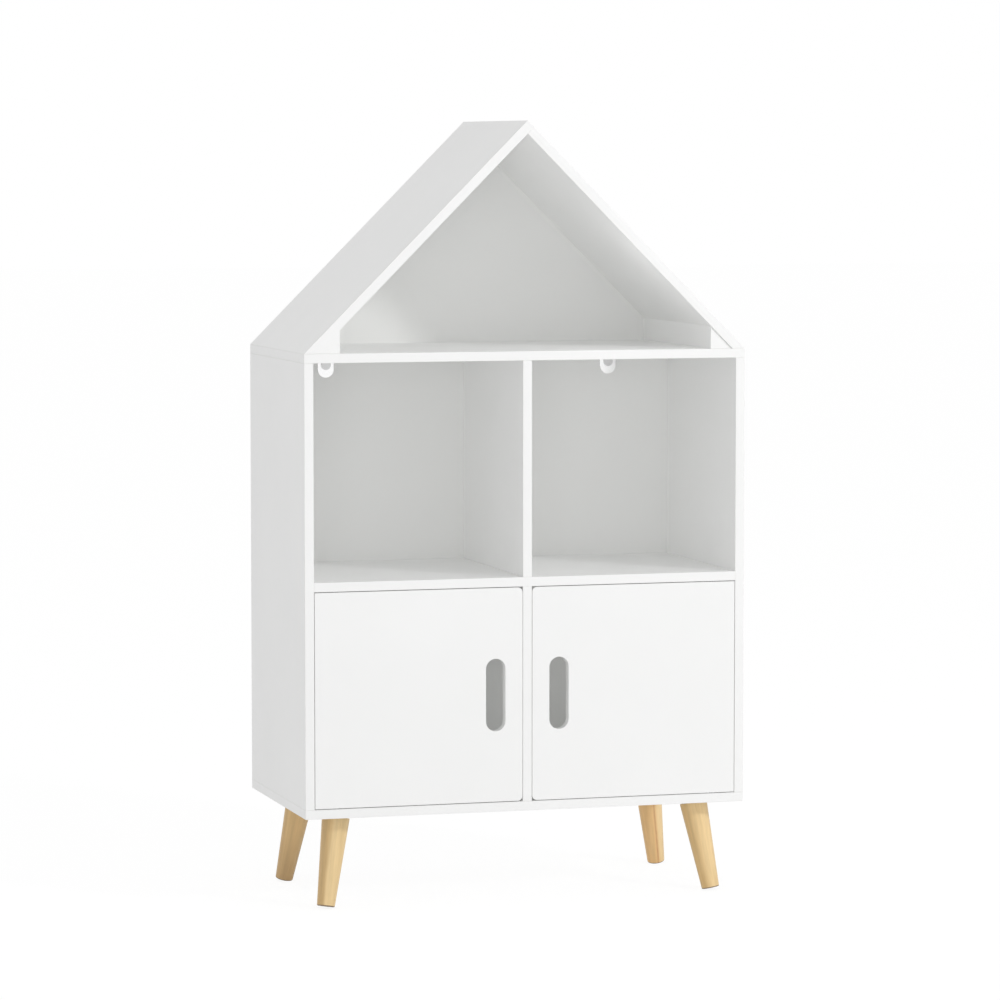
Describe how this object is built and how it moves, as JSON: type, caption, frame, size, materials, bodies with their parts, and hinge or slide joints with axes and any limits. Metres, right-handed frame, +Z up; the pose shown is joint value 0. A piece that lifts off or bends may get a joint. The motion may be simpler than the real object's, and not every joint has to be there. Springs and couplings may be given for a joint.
{
  "type": "house shaped bookcase",
  "caption": "House shaped bookcase with a pitched roof over an attic shelf, open compartments, cupboards with finger-slot doors and splayed tapered wooden legs.",
  "frame": {"origin": "on the floor, under the middle of the body", "axes": "the front faces -Y, +X runs to the right as seen from the front, and +Z runs up"},
  "size_m": [0.59, 0.3, 1.0092],
  "materials": {
    "white_paint": "fibreboard with a satin white lacquer",
    "back_panel_paint": "thin fibreboard with a matt white lacquer",
    "leg_wood": "pale turned hardwood under clear matt lacquer",
    "dowel_wood": "raw fluted dowel wood",
    "zinc_steel": "bright zinc plated steel",
    "bright_plate": "bright plated steel",
    "dark_magnet": "sintered ferrite",
    "white_plastic": "moulded white plastic",
    "grey_plastic": "moulded grey plastic"
  },
  "bodies": {
    "carcass": {"left_side_panel": "white_paint", "right_side_panel": "white_paint", "bottom_board": "white_paint", "mid_board": "white_paint", "shelf": "white_paint", "upper_divider": "white_paint", "lower_divider": "white_paint", "left_roof_panel": "white_paint", "right_roof_panel": "white_paint", "left_corner_block": "white_paint", "right_corner_block": "white_paint", "attic_back_panel": "back_panel_paint", "main_back_panel": "back_panel_paint", "door_bushes": "grey_plastic", "left_catch": "white_plastic", "right_catch": "white_plastic", "catch_magnets": "dark_magnet", "catch_screws": "zinc_steel", "front_left_leg": "leg_wood", "front_right_leg": "leg_wood", "back_left_leg": "leg_wood", "back_right_leg": "leg_wood", "front_left_leg_plate": "zinc_steel", "front_right_leg_plate": "zinc_steel", "back_left_leg_plate": "zinc_steel", "back_right_leg_plate": "zinc_steel", "leg_bolts": "zinc_steel", "leg_plate_screws": "zinc_steel", "left_wall_bracket": "bright_plate", "right_wall_bracket": "bright_plate", "wall_bracket_washers": "zinc_steel", "wall_bracket_screws": "zinc_steel", "bottom_board_screws": "zinc_steel", "mid_board_screws": "zinc_steel", "corner_block_screws": "zinc_steel", "corner_block_pins": "zinc_steel", "shelf_dowels": "dowel_wood", "divider_dowels": "dowel_wood", "ridge_dowels": "dowel_wood"},
    "left_door": {"left_door": "white_paint", "left_door_pins": "zinc_steel", "left_strike_plate": "zinc_steel", "left_strike_screw": "zinc_steel"},
    "right_door": {"right_door": "white_paint", "right_door_pins": "zinc_steel", "right_strike_plate": "zinc_steel", "right_strike_screw": "zinc_steel"}
  },
  "joints": [
    {"name": "left_door_hinge", "type": "hinge", "parent": "carcass", "child": "left_door", "pos_m": [-0.2542, -0.144, 0.27172], "axis": [0, 0, -1], "range_deg": [0, 135]},
    {"name": "right_door_hinge", "type": "hinge", "parent": "carcass", "child": "right_door", "pos_m": [0.2542, -0.144, 0.27172], "axis": [0, 0, 1], "range_deg": [0, 135]}
  ]
}
